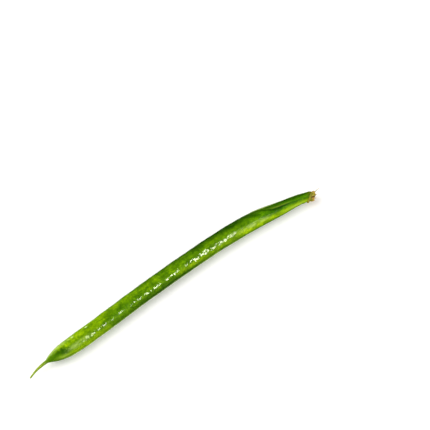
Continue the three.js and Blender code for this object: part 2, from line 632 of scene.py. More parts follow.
@dataclass
class Effects:
    """The node groups that the finishes share, each built once.

    Attributes:
        vectors: The sockets of a group that hold a place or a scale; the others hold a number.
        smallest_speck: The smallest speck's size, as a share of the largest's.
        speck_core: The share of a speck that shows in full.
        unrolled: The place on a straight tube that a place on the UV map stands for.
        mottle: Soft irregular patches.
        specks: Small scattered spots of uneven size.
        band: A soft band where a value is near its middle.
    """

    vectors: tuple[str, ...] = ("UV", "Place", "Stretch")
    smallest_speck: float = 0.35
    speck_core: float = 0.35
    unrolled: bpy.types.NodeTree = field(init=False)
    mottle: bpy.types.NodeTree = field(init=False)
    specks: bpy.types.NodeTree = field(init=False)
    band: bpy.types.NodeTree = field(init=False)

    def __post_init__(self) -> None:
        """Builds the four groups."""
        self.unrolled = self._build_unrolled()
        self.mottle = self._build_mottle()
        self.specks = self._build_specks()
        self.band = self._build_band()

    def _group(self, name: str, takes: str, gives: str) -> tuple[Wiring, bpy.types.NodeOutputs]:
        """Starts a group.

        Args:
            name: The group's name.
            takes: The names of its inputs.
            gives: The names of its outputs.

        Returns:
            Its wiring, and the sockets that hold what it is given.
        """
        group = bpy.data.node_groups.new(name, "ShaderNodeTree")
        for way, labels in (("INPUT", takes), ("OUTPUT", gives)):
            for label in labels.split():
                port = Port.VECTOR if label in self.vectors else Port.VALUE
                group.interface.new_socket(label, in_out=way, socket_type=port.value)
        wiring = Wiring(group)
        return wiring, wiring.add("NodeGroupInput").outputs

    def _build_unrolled(self) -> bpy.types.NodeTree:
        """Turns the skin's UV map into millimetres along a straight tube.

        Returns:
            The group. Along is the distance from the tail, Turn the turn round the section, and
            Place a point on a straight tube, on which a pattern meets itself without a seam.
        """
        wiring, given = self._group("unrolled_bean", "UV Length Girth", "Along Turn Place")
        parts = wiring.add("ShaderNodeSeparateXYZ", {0: given["UV"]}).outputs
        along = wiring.maths("MULTIPLY", parts[0], given["Length"])
        angle = wiring.maths("MULTIPLY", parts[1], math.tau)
        level = wiring.maths("MULTIPLY", wiring.maths("COSINE", angle), given["Girth"])
        upright = wiring.maths("MULTIPLY", wiring.maths("SINE", angle), given["Girth"])
        place = wiring.add("ShaderNodeCombineXYZ", {0: along, 1: level, 2: upright}).outputs[0]
        wiring.add("NodeGroupOutput", {"Along": along, "Turn": parts[1], "Place": place})
        return wiring.tree

    def _build_mottle(self) -> bpy.types.NodeTree:
        """Makes soft irregular patches.

        Returns:
            The group. Mask is 1 on the patches and 0 between them.
        """
        wiring, given = self._group("mottle", "Place Stretch Detail From To", "Mask")
        spread = wiring.scaled(given["Place"], given["Stretch"])
        feeds = {"Vector": spread, "Scale": 1.0, "Detail": given["Detail"]}
        grain = wiring.add("ShaderNodeTexNoise", feeds).outputs[0]
        mask = wiring.rise(grain, Step(given["From"], given["To"]))
        wiring.add("NodeGroupOutput", {"Mask": mask})
        return wiring.tree

    def _build_specks(self) -> bpy.types.NodeTree:
        """Makes small scattered spots of uneven size.

        Returns:
            The group. Mask is 1 on the spots and 0 between them.
        """
        wiring, given = self._group("specks", "Place Stretch Share Size", "Mask")
        spread = wiring.scaled(given["Place"], given["Stretch"])
        cells = wiring.add("ShaderNodeTexVoronoi", {"Vector": spread, "Scale": 1.0}).outputs
        chance = wiring.add("ShaderNodeSeparateXYZ", {0: cells["Color"]}).outputs
        kept = wiring.maths("LESS_THAN", chance[0], given["Share"])
        share = wiring.rise(chance[1], Step(0.0, 1.0, self.smallest_speck, 1.0))
        size = wiring.maths("MULTIPLY", given["Size"], share)
        core = wiring.maths("MULTIPLY", size, self.speck_core)
        spot = wiring.rise(cells["Distance"], Step(core, size, 1.0, 0.0))
        wiring.add("NodeGroupOutput", {"Mask": wiring.maths("MULTIPLY", spot, kept)})
        return wiring.tree

    def _build_band(self) -> bpy.types.NodeTree:
        """Makes a soft band where a value is near its middle.

        Returns:
            The group. Mask is 1 at the band's middle and 0 outside it.
        """
        wiring, given = self._group("band", "Value Middle Width", "Mask")
        away = wiring.maths("SUBTRACT", given["Value"], given["Middle"])
        share = wiring.maths("DIVIDE", wiring.maths("ABSOLUTE", away), given["Width"])
        wiring.add("NodeGroupOutput", {"Mask": wiring.rise(share, Step(0.0, 1.0, 1.0, 0.0))})
        return wiring.tree


# ---- What a finish is made of ----


@dataclass(frozen=True)
class Mottle:
    """Soft irregular patches.

    Attributes:
        lengthwise: How many patches there are to a mm along the bean.
        across: How many there are to a mm round it.
        start: The noise at which a patch starts to show.
        end: The noise at which it shows in full.
        detail: How finely the patches are broken up.
        low: The answer between the patches.
        high: The answer on them.
    """

    lengthwise: float
    across: float
    start: float
    end: float
    detail: float = 2.0
    low: float = 0.0
    high: float = 1.0


@dataclass(frozen=True)
class Specks:
    """Small scattered spots of uneven size.

    Attributes:
        lengthwise: How many cells there are to a mm along the bean.
        across: How many there are to a mm round it.
        share: The share of the cells that hold a spot.
        size: The radius of the largest spots, in cells.
    """

    lengthwise: float
    across: float
    share: float
    size: float


@dataclass(frozen=True)
class Oval:
    """A soft oval on the skin.

    Attributes:
        along: Its middle along the bean.
        length: Half its length, in mm.
        side: Its middle round the bean.
        width: Half its width, as a share of a turn.
    """

    along: float
    length: float
    side: float
    width: float


@dataclass(frozen=True)
class Layer:
    """A colour that is laid over those below it.

    Attributes:
        colour: The tint that is laid on, or the shade that is multiplied in.
        strength: How strongly it shows, from 0 to 1.
        oval: Where it lies, if it isn't all over the skin.
        grain: The patches or specks that break it up, if any do.
        cut: Where it is cut off towards the stem, if it is.
    """

    colour: Tint | Shade
    strength: float
    oval: Oval | None = None
    grain: Mottle | Specks | None = None
    cut: float | None = None


@dataclass
class Surface:
    """A material that is being made, with the places that its patterns read.

    Attributes:
        effects: The shared effects.
        name: The material's name.
        ground: The colour that the others are laid on.
        girth: The radius, in mm, of the straight tube that patterns are laid on.
        length: The bean's length, in mm, that U stands for.
        material: The material.
        wiring: The wiring of its node tree.
        shader: Its shader.
        along: The place along the bean.
        turn: The turn round it.
        place: The point on the straight tube.
        colour: The colour that has been laid so far.
    """

    effects: Effects
    name: str
    ground: Tint
    girth: float = 3.4
    length: float = 140.0
    material: bpy.types.Material = field(init=False)
    wiring: Wiring = field(init=False)
    shader: bpy.types.Node = field(init=False)
    along: Socket = field(init=False)
    turn: Socket = field(init=False)
    place: Socket = field(init=False)
    colour: Feed = field(init=False)

    def __post_init__(self) -> None:
        """Starts the material with its shader and its coordinates."""
        self.material = bpy.data.materials.new(self.name)
        self.material.use_nodes = True
        self.wiring = Wiring(self.material.node_tree)
        self.shader = self.material.node_tree.nodes["Principled BSDF"]
        chart = self.wiring.add("ShaderNodeUVMap", uv_map="skin").outputs[0]
        self.along, self.turn, self.place = self.effect(
            self.effects.unrolled, UV=chart, Length=self.length, Girth=self.girth)
        self.colour = self.ground.value

    def effect(self, group: bpy.types.NodeTree, **feeds: Feed) -> bpy.types.NodeOutputs:
        """What a shared effect gives for its inputs."""
        return self.wiring.add("ShaderNodeGroup", feeds, node_tree=group).outputs

    def mottle(self, pattern: Mottle) -> Socket:
        """Patches of the shared mottle.

        Args:
            pattern: What they are like.

        Returns:
            The socket with their mask.
        """
        stretch = (pattern.lengthwise, pattern.across, pattern.across)
        mask = self.effect(self.effects.mottle, Place=self.place, Stretch=stretch,
                           Detail=pattern.detail, From=pattern.start, To=pattern.end)[0]
        if (pattern.low, pattern.high) != (0.0, 1.0):
            mask = self.step(mask, Step(0.0, 1.0, pattern.low, pattern.high))
        return mask

    def specks(self, pattern: Specks) -> Socket:
        """Spots of the shared specks.

        Args:
            pattern: What they are like.

        Returns:
            The socket with their mask.
        """
        stretch = (pattern.lengthwise, pattern.across, pattern.across)
        return self.effect(self.effects.specks, Place=self.place, Stretch=stretch,
                           Share=pattern.share, Size=pattern.size)[0]

    def band(self, value: Feed, middle: float, width: float) -> Socket:
        """A band of the shared kind, where the value is near its middle."""
        return self.effect(self.effects.band, Value=value, Middle=middle, Width=width)[0]

    def step(self, value: Feed, step: Step) -> Socket:
        """A smooth step in a value."""
        return self.wiring.rise(value, step)

    def both(self, *masks: Feed) -> Feed:
        """Where all the masks are strong: their product.

        Args:
            *masks: The masks, or plain strengths.

        Returns:
            The socket with the product, or the one mask that was given.
        """
        product, *others = masks
        for other in others:
            product = self.wiring.maths("MULTIPLY", product, other)
        return product

    def lay(self, colour: Tint | Shade, *masks: Feed) -> None:
        """Lays a colour over those laid so far.

        Args:
            colour: The tint that is laid on, or the shade that is multiplied in.
            *masks: Where it shows: where all of these are strong.
        """
        blend = "MULTIPLY" if isinstance(colour, Shade) else "MIX"
        self.colour = self.wiring.tinted(self.both(*masks), self.colour, colour.value, blend)

    def finish(self, height: Socket, distance: float, **values: Feed) -> bpy.types.Material:
        """Gives the shader its colour, its relief and its other inputs.

        Args:
            height: The relief's height, from 0 to 1.
            distance: What a height of 1 stands for, in mm.
            **values: The other inputs, named with _ for a space.

        Returns:
            The finished material.
        """
        bump = self.wiring.add("ShaderNodeBump", {"Height": height, "Distance": distance * MM,
                                                  "Strength": 1.0})
        inputs = {"Base_Color": self.colour, "Normal": bump.outputs[0], **values}
        named = {name.replace("_", " "): value for name, value in inputs.items()}
        self.wiring.feed(self.shader, named)
        return self.material


@dataclass
class PodSurface(Surface):
    """The pod's surface, which also knows the side that each place faces.

    Attributes:
        side: The turn round the bean, with the neck's twist.
        cut_softness: Half the length over which a layer that is cut off fades, in mm.
    """

    side: Socket = field(init=False)
    cut_softness: float = 0.7

    def __post_init__(self) -> None:
        """Starts the material and works out the side."""
        super().__post_init__()
        twist = Step(NECK_TWIST.start, NECK_TWIST.end, 0.0, NECK_TWIST.degrees / 360)
        self.side = self.wiring.maths("ADD", self.turn, self.step(self.along, twist))

    def oval(self, oval: Oval) -> Socket:
        """The mask of a soft oval."""
        return self.both(self.band(self.along, oval.along, oval.length),
                         self.band(self.side, oval.side, oval.width))

    def spread(self, layers: tuple[Layer, ...]) -> None:
        """Lays layers of colour over those laid so far.

        Args:
            layers: The layers, from the lowest to the uppermost.
        """
        for layer in layers:
            masks: list[Feed] = [layer.strength]
            if layer.oval:
                masks.append(self.oval(layer.oval))
            if isinstance(layer.grain, Mottle):
                masks.append(self.mottle(layer.grain))
            if isinstance(layer.grain, Specks):
                masks.append(self.specks(layer.grain))
            if layer.cut:
                fade = Step(layer.cut + self.cut_softness, layer.cut - self.cut_softness)
                masks.append(self.step(self.along, fade))
            self.lay(layer.colour, *masks)


# ---- Finishes ----


@dataclass(frozen=True)
class WetSkin:
    """The pod's skin: mottled green, darker and lighter by turns, partly by painted shade and
    highlights, and wet in broken patches.

    Attributes:
        broad: The broad patches of the two middle greens, and evened how far they are evened out.
        sides: The broad lighter and darker sides: partly the skin's own greens, and partly painted
            shade along the inside of the bow, on the outer flank and in the neck's crease, and a
            painted glow beside the highlight.
        shades: The patches and lines that shade and light the greens, and the fresher neck.
        patchy: What breaks up the darkest green of the shoulder.
        shoulder: The pale and dark patches behind the tail, with painted sheen on its upper rim and
            lower flank.
        tail: Where the pale tail goes over into the shoulder, and tail_below how it darkens
            towards the inside of the bow.
        seams: The two seams' turns, and seam_start where they begin.
        seam_cord: Half the width of a seam's pale cord, which is partly painted highlight, and uneven
            how the cord comes and goes.
        line_offset: How far from the seam its two dark lines of painted shade are, line_width half
            their width, and shade_line_strength how dark they are.
        lip: The raised lip of the outer seam at the neck, pale with a painted highlight, with a turn
            for its side, and lip_highlight_strength how pale it is.
        fold_width: Half the width of a crease's groove of painted shade and ridge of painted highlight.
        groove_offset: How far from the crease the groove is, and ridge_offset the ridge.
        groove_shade_strength: How dark the painted shade in a groove is for each mm of depth, and
            ridge_highlight_strength how pale the painted highlight on a ridge is.
        ridge_start: How far behind the crease's start the ridge begins and shows in full.
        specks_and_painted_sheen: The pale specks, the painted sheen, glints and streaks of light on the
            wet skin, and the lime by the stub, partly painted light.
        dry_rim: Where the skin dries by the stub, dry_side and dry_width on which side, and
            dry_strength how strongly.
        roughness: How the roughness changes over the skin.
    """

    broad: Mottle = Mottle(0.09, 0.28, 0.36, 0.66)
    evened: float = 0.5
    sides: tuple[Layer, ...] = (
        Layer(Tint.BRIGHT, 0.80, Oval(30.0, 20.0, 0.460, 0.300)),
        Layer(Tint.LIME, 0.62, Oval(20.0, 14.0, 0.450, 0.160)),
        Layer(Tint.BRIGHT, 0.80, Oval(41.0, 16.0, 0.390, 0.110)),
        Layer(Tint.LIME, 0.70, Oval(27.0, 20.0, 0.715, 0.115)),
        Layer(Tint.LEAF, 0.40, Oval(31.0, 8.0, 0.450, 0.090)),
        Layer(Tint.LEAF, 0.80, Oval(45.0, 15.0, 0.570, 0.110)),
        Layer(Tint.BRIGHT, 0.40, Oval(52.5, 7.0, 0.470, 0.090)),
        # Painted shade along the inside of the bow.
        Layer(Tint.DEEP, 1.00, Oval(68.0, 30.0, 0.750, 0.155)),
        Layer(Tint.BRIGHT, 0.30, Oval(61.0, 9.0, 0.440, 0.120)),
        # Painted glow beside the highlight.
        Layer(Tint.LIME, 0.65, Oval(80.0, 8.5, 0.650, 0.070)),
        # Painted shade on the outer flank, strongest towards the stem.
        Layer(Tint.DEEP, 1.00, Oval(96.0, 50.0, 0.355, 0.175)),
        Layer(Tint.DEEP, 0.80, Oval(102.0, 19.0, 0.420, 0.120)),
        Layer(Tint.DEEP, 0.80, Oval(127.0, 22.0, 0.430, 0.150)),
        Layer(Tint.LIME, 0.95, Oval(114.0, 38.0, 0.675, 0.120)),
        Layer(Tint.LEAF, 0.40, Oval(98.0, 10.0, 0.690, 0.130)),
        Layer(Tint.LEAF, 0.80, Oval(121.5, 11.0, 0.590, 0.090)),
        Layer(Tint.LEAF, 0.60, Oval(130.0, 16.0, 0.500, 0.090)),
        # Painted shade in the neck's main crease.
        Layer(Tint.DEEP, 0.75, Oval(123.5, 7.0, 0.535, 0.055)),
    )
    shades: tuple[Layer, ...] = (
        Layer(Shade.DIM, 0.85, grain=Mottle(0.22, 0.42, 0.44, 0.62)),
        Layer(Shade.LIT, 0.70, grain=Mottle(0.30, 0.62, 0.50, 0.66)),
        Layer(Shade.DIM, 0.30, grain=Mottle(0.05, 1.60, 0.50, 0.76)),
        Layer(Shade.DIM, 0.55, grain=Mottle(0.95, 0.80, 0.46, 0.62)),
        Layer(Shade.LIT, 0.80, grain=Mottle(1.40, 1.70, 0.46, 0.60)),
        Layer(Shade.FRESH, 1.00, Oval(125.0, 20.0, 0.520, 0.180)),
    )
    patchy: Mottle = Mottle(0.75, 0.75, 0.36, 0.56, low=0.35)
    shoulder: tuple[Layer, ...] = (
        # Painted sheen along the upper rim.
        Layer(Tint.PAINTED_SHEEN, 0.75, Oval(15.0, 10.0, 0.375, 0.085)),
        Layer(Tint.BRIGHT, 0.85, Oval(17.5, 6.0, 0.690, 0.080)),
        # Painted sheen on the lower flank.
        Layer(Tint.PAINTED_SHEEN, 0.22, Oval(16.5, 4.5, 0.680, 0.080)),
        Layer(Tint.LEAF, 0.85, Oval(11.0, 5.5, 0.700, 0.110), cut=18.6),
        Layer(Tint.DEEP, 0.60, Oval(10.5, 5.5, 0.780, 0.085), cut=18.6),
        Layer(Tint.LEAF, 0.95, Oval(14.5, 9.0, 0.560, 0.140), cut=18.6),
        Layer(Tint.DEEP, 0.88, Oval(16.5, 4.5, 0.535, 0.115), patchy, cut=18.6),
        Layer(Tint.DEEP, 0.70, Oval(18.4, 3.2, 0.620, 0.070), patchy, cut=20.6),
    )
    tail: Step = Step(11.5, 5.0)
    tail_below: Step = Step(0.50, 0.72, 0.0, 0.60)

    seams: tuple[float, float] = (0.25, 0.75)
    seam_start: Step = Step(10.0, 16.0)
    seam_cord: float = 0.017
    uneven: Mottle = Mottle(0.16, 0.60, 0.34, 0.62, low=0.15, high=0.55)
    line_offset: float = 0.028
    line_width: float = 0.020
    shade_line_strength: float = 0.55
    lip: Oval = Oval(117.5, 8.0, 0.274, 0.013)
    lip_highlight_strength: float = 0.9
    fold_width: float = 0.026
    groove_offset: float = 0.004
    ridge_offset: float = -0.036
    groove_shade_strength: float = 3.80
    ridge_highlight_strength: float = 1.44
    ridge_start: tuple[float, float] = (2.0, 9.0)

    specks_and_painted_sheen: tuple[Layer, ...] = (
        Layer(Tint.LIME, 0.45, grain=Specks(0.80, 1.20, 0.20, 0.26)),
        # Painted sheen: glinting specks along the upper rim, and a hazy smear, specks of glow and drops
        # along the highlight.
        Layer(Tint.PAINTED_SHEEN, 0.95, Oval(20.5, 8.0, 0.425, 0.075), Specks(0.75, 1.10, 0.75, 0.42)),
        Layer(Tint.PAINTED_SHEEN, 0.65, Oval(23.5, 7.0, 0.604, 0.073), Mottle(0.45, 0.90, 0.30, 0.60)),
        Layer(Tint.PAINTED_SHEEN, 0.70, Oval(22.5, 7.5, 0.600, 0.100), Specks(1.30, 1.70, 0.60, 0.40)),
        Layer(Tint.PAINTED_SHEEN, 1.00, Oval(30.5, 11.0, 0.607, 0.060), Specks(0.85, 1.10, 0.80, 0.50)),
        # Painted glints of single water drops on the highlight.
        Layer(Tint.PAINTED_GLINT, 1.00, Oval(27.9, 0.9, 0.586, 0.030)),
        Layer(Tint.PAINTED_GLINT, 1.00, Oval(28.5, 0.7, 0.607, 0.030)),
        Layer(Tint.PAINTED_GLINT, 1.00, Oval(30.5, 0.8, 0.603, 0.026)),
        Layer(Tint.PAINTED_GLINT, 1.00, Oval(30.0, 0.6, 0.622, 0.024)),
        # Painted glints on the upper side.
        Layer(Tint.PAINTED_GLINT, 1.00, Oval(30.4, 0.9, 0.412, 0.026)),
        Layer(Tint.PAINTED_GLINT, 1.00, Oval(23.4, 0.8, 0.415, 0.026)),
        Layer(Tint.PAINTED_SHEEN, 0.80, Oval(29.5, 4.5, 0.390, 0.050), Specks(0.75, 1.10, 0.80, 0.45)),
        # Painted highlight streak before the neck.
        Layer(Tint.PAINTED_SHEEN, 0.85, Oval(112.0, 10.5, 0.641, 0.051), Mottle(0.30, 0.90, 0.30, 0.56)),
        # Lighter lime towards the stub on the lower side, partly painted light.
        Layer(Tint.LIME, 0.90, Oval(133.0, 15.0, 0.705, 0.105), Mottle(0.50, 0.90, 0.22, 0.50)),
        # Painted sheen and glints along the lower edge by the stub.
        Layer(Tint.PAINTED_SHEEN, 0.25, Oval(130.5, 8.0, 0.700, 0.055)),
        Layer(Tint.PAINTED_SHEEN, 0.80, Oval(130.5, 8.0, 0.700, 0.055), Specks(1.10, 1.50, 0.70, 0.42)),
    )
    dry_rim: Step = Step(134.4, 136.4)
    dry_side: float = 0.42
    dry_width: float = 0.25
    dry_strength: float = 0.75
    roughness: Mottle = Mottle(0.22, 0.50, 0.42, 0.60, low=0.34, high=0.46)

    def dress(self, effects: Effects) -> bpy.types.Material:
        """Makes the material.

        Args:
            effects: The shared effects.

        Returns:
            The material.
        """
        skin = PodSurface(effects, "wet_pod_skin", Tint.LEAF)
        skin.lay(Tint.MID, skin.mottle(self.broad))
        skin.lay(Tint.MID, self.evened)
        skin.spread(self.sides + self.shades + self.shoulder)
        self._lay_tail(skin)
        self._lay_seams(skin)
        self._lay_folds(skin)
        skin.spread(self.specks_and_painted_sheen)
        skin.lay(Tint.HUSK, skin.step(skin.along, self.dry_rim),
                 skin.band(skin.side, self.dry_side, self.dry_width), self.dry_strength)
        relief = SkinRelief()
        return skin.finish(
            relief.height_on(skin), relief.depth, Coat_Weight=WaterFilm().strength_on(skin),
            Roughness=skin.mottle(self.roughness), IOR=1.42,
            Specular_IOR_Level=0.02, Subsurface_Weight=0.05, Subsurface_Radius=(0.5, 1.0, 0.1),
            Subsurface_Scale=0.6 * MM, Coat_Roughness=0.07, Coat_IOR=1.5)

    def _lay_tail(self, skin: PodSurface) -> None:
        """Lays on the pale tail, darker towards the inside of the bow.

        Args:
            skin: The surface that is being made.
        """
        bare = skin.step(skin.along, self.tail)
        skin.lay(Tint.PALE, bare)
        skin.lay(Tint.MID, bare, skin.step(skin.side, self.tail_below))

    def _lay_seams(self, skin: PodSurface) -> None:
        """Lays on the two seams, each a pale cord, partly painted highlight, between two dark lines of
        painted shade, and a painted highlight on the lip by the neck.

        Args:
            skin: The surface that is being made.
        """
        on_body = skin.step(skin.along, self.seam_start)
        uneven = skin.mottle(self.uneven)
        for seam in self.seams:
            # Dark lines of painted shade beside the raised seam.
            for beside in (seam - self.line_offset, seam + self.line_offset):
                line = skin.band(skin.turn, beside, self.line_width)
                skin.lay(Tint.DEEP, line, on_body, self.shade_line_strength)
            # Pale cord, partly painted highlight on the raised seam.
            skin.lay(Tint.PAINTED_SHEEN, skin.band(skin.turn, seam, self.seam_cord), on_body, uneven)
        # Painted highlight on the raised lip.
        skin.lay(Tint.PAINTED_SHEEN, skin.band(skin.turn, self.lip.side, self.lip.width),
                 skin.band(skin.along, self.lip.along, self.lip.length), self.lip_highlight_strength)

    def _lay_folds(self, skin: PodSurface) -> None:
        """Lays on the creases by the stem, each a ridge of painted highlight with a groove of painted
        shade beside it.

        Args:
            skin: The surface that is being made.
        """
        for crease in CREASES:
            path = Step(crease.start, crease.settled, crease.first_turn, crease.last_turn)
            away = skin.wiring.maths("SUBTRACT", skin.turn, skin.step(skin.along, path))
            deepening = Step(crease.start - crease.deepening, crease.start + crease.deepening)
            fading = Step(crease.end + crease.fading, crease.end - crease.fading)
            reach = skin.both(skin.step(skin.along, deepening), skin.step(skin.along, fading))
            late = Step(*(crease.start + behind for behind in self.ridge_start))
            # Painted highlight on the crease's ridge.
            ridge = skin.band(away, self.ridge_offset, self.fold_width)
            skin.lay(Tint.PALE, ridge, skin.step(skin.along, late),
                     self.ridge_highlight_strength * crease.depth, reach)
            # Painted shade in the crease's groove.
            groove = skin.band(away, self.groove_offset, self.fold_width)
            skin.lay(Tint.DEEP, groove, reach, self.groove_shade_strength * crease.depth)


@dataclass(frozen=True)
class WaterFilm:
    """The water on the skin: broken by dry gaps, and thin on the shoulder and by the stem.

    Attributes:
        patches: Where the skin holds water.
        beads: How finely the water is broken up.
        along: How the film thins out towards the stem and the tail.
        gaps: The dry gaps: the middle and half the length of each.
        gap_reach: How far a gap's soft edge reaches, as a multiple of that half length.
        gap_edge: How the film breaks off at the edge.
        wander: How the gaps' edges run in and out.
        crown: The side on which they run straightest, and ragged how far in mm they run in and
            out away from it.
        thin: The middle and half the length of the stretch where the film is thin, and thinned how
            it thins there.
        haze: The patch by the shoulder that is dull, and dulled how it dulls.
    """

    patches: Mottle = Mottle(0.42, 0.80, 0.30, 0.46)
    beads: Mottle = Mottle(0.95, 1.40, 0.43, 0.52, low=0.04)
    along: tuple[Step, ...] = (
        Step(100.5, 105.0, 1.0, 0.10), Step(116.0, 124.0, 1.0, 0.10), Step(20.0, 36.0, 0.15, 1.0),
    )
    gaps: tuple[tuple[float, float], ...] = (
        (28.4, 0.5), (30.6, 0.6), (32.5, 0.5), (35.2, 0.9), (39.0, 1.8), (42.6, 2.0), (48.4, 2.2),
        (51.4, 0.4), (53.3, 0.5), (56.2, 0.9), (60.0, 0.5), (66.6, 1.5), (71.9, 0.3), (76.2, 2.3),
        (79.8, 1.0), (85.1, 0.5), (90.0, 0.4), (91.2, 0.3), (95.4, 0.35), (98.6, 0.3), (100.0, 0.3),
        (103.6, 0.6),
    )
    gap_reach: float = 1.5
    gap_edge: Step = Step(0.1, 0.7, 1.0, 0.0)
    wander: Mottle = Mottle(0.35, 1.10, 0.20, 0.80)
    crown: float = 0.605
    ragged: Step = Step(0.04, 0.16, 0.9, 9.0)
    thin: tuple[float, float] = (43.0, 23.0)
    thinned: Step = Step(0.0, 0.6, 1.0, 0.62)
    haze: Oval = Oval(21.5, 7.0, 0.600, 0.120)
    dulled: Step = Step(0.0, 0.5, 1.0, 0.1)

    def strength_on(self, skin: PodSurface) -> Socket:
        """Works out the film's strength.

        Args:
            skin: The surface that it lies on.

        Returns:
            The socket with the strength, from 0 to 1.
        """
        wiring = skin.wiring
        masks = [skin.mottle(self.patches), skin.mottle(self.beads)]
        masks += [skin.step(skin.along, step) for step in self.along]
        off_crown = wiring.maths("ABSOLUTE", wiring.maths("SUBTRACT", skin.side, self.crown))
        wander = wiring.maths("SUBTRACT", skin.mottle(self.wander), 0.5)
        astray = skin.both(wander, skin.step(off_crown, self.ragged))
        place = wiring.maths("ADD", skin.along, astray)
        for middle, half_length in self.gaps:
            gap = skin.band(place, middle, half_length * self.gap_reach)
            masks.append(skin.step(gap, self.gap_edge))
        masks.append(skin.step(skin.band(skin.along, *self.thin), self.thinned))
        masks.append(skin.step(skin.oval(self.haze), self.dulled))
        return skin.both(*masks)


@dataclass(frozen=True)
class SkinRelief:
    """The skin's fine relief.

    Attributes:
        swells: Its small swells.
        lines: Its faint lengthwise lines, and line_height their height beside the swells'.
        pores: Its pores, and pore_depth their depth beside the swells' height.
        depth: How high the swells are, in mm.
    """

    swells: Mottle = Mottle(0.95, 0.95, 0.20, 0.80, detail=3.0)
    lines: Mottle = Mottle(0.16, 2.40, 0.25, 0.75)
    line_height: float = 0.25
    pores: Specks = Specks(1.80, 2.60, 0.50, 0.30)
    pore_depth: float = 0.10
    depth: float = 0.11

    def height_on(self, skin: Surface) -> Socket:
        """Works out the relief's height.

        Args:
            skin: The surface that it is on.

        Returns:
            The socket with the height: 1 on the highest swells.
        """
        lines = skin.both(skin.mottle(self.lines), self.line_height)
        pores = skin.both(skin.specks(self.pores), -self.pore_depth)
        lined = skin.wiring.maths("ADD", lines, skin.mottle(self.swells))
        return skin.wiring.maths("ADD", lined, pores)


@dataclass(frozen=True)
class DryStem:
    """The stub's finish: dry tan fibre, with dark cracks and spots and a dark band down its notch.

    Attributes:
        olive: The patches of dull green.
        fibres: The pale lengthwise fibres, and cracks the dark cracks between them.
        base: Where the stub is greener, next to the pod.
        split: The turn of the dark band down the notch in the torn end and half its width, and
            split_start where it starts.
        spots: The small dark spots.
        fibre_strength: How much of the fibres' colour shows; the other strengths say it of theirs.
        fibre_height: How far the fibres stand out, and crack_height the cracks, as shares of depth.
        roughness: How the roughness changes over the stub.
        depth: What a height of 1 stands for, in mm.
    """

    olive: Mottle = Mottle(0.50, 0.80, 0.38, 0.64)
    fibres: Mottle = Mottle(0.35, 3.40, 0.48, 0.70, detail=3.0)
    cracks: Mottle = Mottle(0.40, 2.60, 0.60, 0.78)
    base: Step = Step(138.1, 137.2)
    split: tuple[float, float] = (0.635, 0.045)
    split_start: Step = Step(137.3, 138.2)
    spots: Specks = Specks(1.60, 2.00, 0.35, 0.40)
    fibre_strength: float = 0.7
    crack_strength: float = 0.8
    base_strength: float = 0.5
    split_strength: float = 0.9
    spot_strength: float = 0.75
    fibre_height: float = 0.7
    crack_height: float = -0.9
    roughness: Mottle = Mottle(0.90, 1.40, 0.30, 0.70, low=0.62, high=0.88)
    depth: float = 0.12

    def dress(self, effects: Effects) -> bpy.types.Material:
        """Makes the material.

        Args:
            effects: The shared effects.

        Returns:
            The material.
        """
        stem = Surface(effects, "dry_stem_fibre", Tint.TAN, girth=1.9)
        fibres, cracks = stem.mottle(self.fibres), stem.mottle(self.cracks)
        stem.lay(Tint.OLIVE, stem.mottle(self.olive))
        stem.lay(Tint.STRAW, fibres, self.fibre_strength)
        stem.lay(Tint.BROWN, cracks, self.crack_strength)
        stem.lay(Tint.OLIVE, stem.step(stem.along, self.base), self.base_strength)
        stem.lay(Tint.BROWN, stem.band(stem.turn, *self.split),
                 stem.step(stem.along, self.split_start), self.split_strength)
        stem.lay(Tint.BROWN, stem.specks(self.spots), self.spot_strength)
        height = stem.wiring.maths("ADD", stem.both(fibres, self.fibre_height),
                                   stem.both(cracks, self.crack_height))
        return stem.finish(height, self.depth, Roughness=stem.mottle(self.roughness), IOR=1.4,
                           Specular_IOR_Level=0.35)


# ---- The bean ----


def add_object(name: str, data: bpy.types.ID) -> bpy.types.Object:
    """Puts a new object in the scene.

    Args:
        name: Its name.
        data: Its mesh, light or camera.

    Returns:
        The object, at the origin.
    """
    thing = bpy.data.objects.new(name, data)
    bpy.context.scene.collection.objects.link(thing)
    return thing


def add_mesh(name: str, mesh: bmesh.types.BMesh, material: bpy.types.Material) -> bpy.types.Object:
    """Puts a mesh in the scene.

    Args:
        name: The name of its object.
        mesh: The mesh, in metres. It is freed.
        material: Its material.

    Returns:
        The object, at the origin.
    """
    data = bpy.data.meshes.new(name)
    mesh.to_mesh(data)
    mesh.free()
    data.materials.append(material)
    return add_object(name, data)


def settle(mesh: bmesh.types.BMesh, name: str, node: Node,
           material: bpy.types.Material) -> None:
    """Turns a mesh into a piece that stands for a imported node.

    Args:
        mesh: The piece's mesh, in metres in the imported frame. It is freed.
        name: The piece's name.
        node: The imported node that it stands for.
        material: Its material.
    """
    for face in mesh.faces:
        face.smooth = True
    piece = add_mesh(name, mesh, material)
    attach(piece, "root")
    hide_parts(node.value)
    LOG.info("%s: %d faces", name, len(piece.data.polygons))


